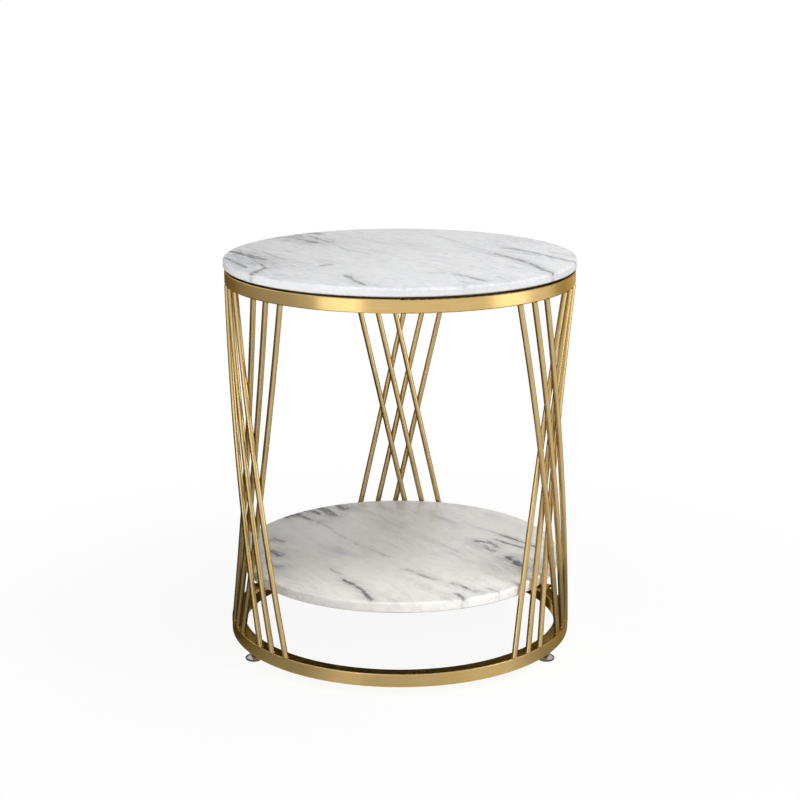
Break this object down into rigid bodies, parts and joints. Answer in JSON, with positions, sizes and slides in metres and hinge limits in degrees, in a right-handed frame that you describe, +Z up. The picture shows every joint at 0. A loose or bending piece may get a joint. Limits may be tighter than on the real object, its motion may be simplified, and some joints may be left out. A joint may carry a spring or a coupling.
{
  "type": "tiered side table",
  "caption": "Round two-tier side table: stone top and low stone shelf in a gold wire frame of square-tube hoops and crossing bowed rods, on levelling feet.",
  "frame": {"origin": "on the floor, under the middle of the table, with the feet screwed home", "axes": "+Z up along the table's axis; one rod group and one foot stand at +Y, and the pictured front is at -Y"},
  "size_m": [0.4999, 0.5026, 0.562],
  "materials": {
    "top_marble": "polished white marble with grey veins",
    "shelf_marble": "polished white marble with grey veins, warmer and darker than the top",
    "gold_metal": "gold-coloured plating, finely brushed along each tube and rod",
    "bright_chrome": "bright plated",
    "clear_silicone": "clear, slightly milky",
    "nylon": "moulded, dull",
    "zinc": "zinc plated"
  },
  "bodies": {
    "frame": {"top_slab": "top_marble", "shelf_slab": "shelf_marble", "top_ring": "gold_metal", "base_ring": "gold_metal", "back_outer_rod_1": "gold_metal", "back_outer_rod_2": "gold_metal", "back_outer_rod_3": "gold_metal", "back_inner_rod_1": "gold_metal", "back_inner_rod_2": "gold_metal", "back_inner_rod_3": "gold_metal", "left_outer_rod_1": "gold_metal", "left_outer_rod_2": "gold_metal", "left_outer_rod_3": "gold_metal", "left_inner_rod_1": "gold_metal", "left_inner_rod_2": "gold_metal", "left_inner_rod_3": "gold_metal", "right_outer_rod_1": "gold_metal", "right_outer_rod_2": "gold_metal", "right_outer_rod_3": "gold_metal", "right_inner_rod_1": "gold_metal", "right_inner_rod_2": "gold_metal", "right_inner_rod_3": "gold_metal", "top_pad_1": "clear_silicone", "top_pad_2": "clear_silicone", "top_pad_3": "clear_silicone", "top_pad_4": "clear_silicone", "top_pad_5": "clear_silicone", "top_pad_6": "clear_silicone", "shelf_tab_back": "gold_metal", "shelf_tab_left": "gold_metal", "shelf_tab_right": "gold_metal", "shelf_pad_back": "clear_silicone", "shelf_pad_left": "clear_silicone", "shelf_pad_right": "clear_silicone", "rivet_nut_back": "zinc", "rivet_nut_left": "zinc", "rivet_nut_right": "zinc"},
    "foot_back": {"foot_bell_back": "bright_chrome", "foot_sole_back": "nylon"},
    "stud_back": {"foot_stud_back": "zinc"},
    "foot_left": {"foot_bell_left": "bright_chrome", "foot_sole_left": "nylon"},
    "stud_left": {"foot_stud_left": "zinc"},
    "foot_right": {"foot_bell_right": "bright_chrome", "foot_sole_right": "nylon"},
    "stud_right": {"foot_stud_right": "zinc"}
  },
  "joints": [
    {"name": "foot_slide_back", "type": "slide", "parent": "frame", "child": "foot_back", "axis": [0, 0, -1], "range_m": [0, 0.008]},
    {"name": "stud_turn_back", "type": "hinge", "parent": "foot_back", "child": "stud_back", "pos_m": [0, 0.2406, 0.008], "axis": [0, 0, -1], "range_deg": [0, 2304]},
    {"name": "foot_slide_left", "type": "slide", "parent": "frame", "child": "foot_left", "axis": [0, 0, -1], "range_m": [0, 0.008]},
    {"name": "stud_turn_left", "type": "hinge", "parent": "foot_left", "child": "stud_left", "pos_m": [-0.20837, -0.1203, 0.008], "axis": [0, 0, -1], "range_deg": [0, 2304]},
    {"name": "foot_slide_right", "type": "slide", "parent": "frame", "child": "foot_right", "axis": [0, 0, -1], "range_m": [0, 0.008]},
    {"name": "stud_turn_right", "type": "hinge", "parent": "foot_right", "child": "stud_right", "pos_m": [0.20837, -0.1203, 0.008], "axis": [0, 0, -1], "range_deg": [0, 2304]}
  ],
  "couplings": [
    {"joint": "stud_turn_back", "follows": "foot_slide_back", "rad_per_m": 5026.5},
    {"joint": "stud_turn_left", "follows": "foot_slide_left", "rad_per_m": 5026.5},
    {"joint": "stud_turn_right", "follows": "foot_slide_right", "rad_per_m": 5026.5}
  ]
}
